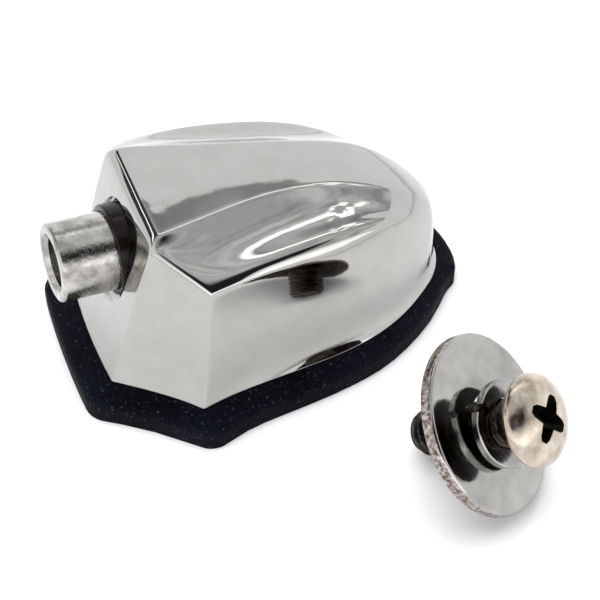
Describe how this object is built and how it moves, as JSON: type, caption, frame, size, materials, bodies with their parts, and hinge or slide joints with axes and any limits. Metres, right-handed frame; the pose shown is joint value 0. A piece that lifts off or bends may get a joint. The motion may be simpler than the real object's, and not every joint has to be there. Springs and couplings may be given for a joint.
{
  "type": "single-ended drum lug with mounting hardware",
  "caption": "Chrome drum lug with a swivel nut for a tension rod and a rubber gasket, its loose cross-recess mounting screw carrying a split washer and a wide flat washer",
  "frame": {"origin": "mouth of the tapped hole for the mounting screw, on the drum shell's surface under the gasket", "axes": "+Z away from the drum shell, -X the way the swivel nut points, Y across the lug"},
  "size_m": [0.0552, 0.069, 0.0252],
  "materials": {
    "plated_casing": "mirror-bright nickel-chrome plating",
    "nut_steel": "satin, slightly pitted plating",
    "black_nylon": "moulded, low sheen",
    "spring_steel": "bright drawn wire",
    "gasket_rubber": "matt, fine speckle",
    "screw_nickel": "worn nickel plating",
    "washer_steel": "smooth plated, fine grain"
  },
  "bodies": {
    "lug": {"lug_casing": "plated_casing", "gasket": "gasket_rubber"},
    "nut_yaw": {"nut_spring": "spring_steel"},
    "nut": {"swivel_nut": "nut_steel", "nut_bush": "black_nylon"},
    "screw": {"mounting_screw": "screw_nickel"},
    "lock_washer": {"spring_lock_washer": "spring_steel"},
    "flat_washer": {"flat_washer": "washer_steel"}
  },
  "joints": [
    {"name": "nut_yaw", "type": "hinge", "parent": "lug", "child": "nut_yaw", "pos_m": [-0.019, 0, 0.0161], "axis": [0, 0, 1], "range_deg": [-8.1, 0.1]},
    {"name": "nut_pitch", "type": "hinge", "parent": "nut_yaw", "child": "nut", "pos_m": [-0.019, 0, 0.0161], "axis": [0.071, -0.9975, 0], "range_deg": [-0.1, 8.5]},
    {"name": "screw_set_lift", "type": "slide", "parent": "lug", "child": "screw", "axis": [0, 0, 1], "range_m": [0, 0.03]},
    {"name": "lock_washer_slide", "type": "slide", "parent": "screw", "child": "lock_washer", "axis": [0.4801, -0.6312, 0.6092], "range_m": [-0.0002, 0.0031]},
    {"name": "flat_washer_slide", "type": "slide", "parent": "screw", "child": "flat_washer", "axis": [0.4801, -0.6312, 0.6092], "range_m": [-0.008, 0.0002]}
  ]
}
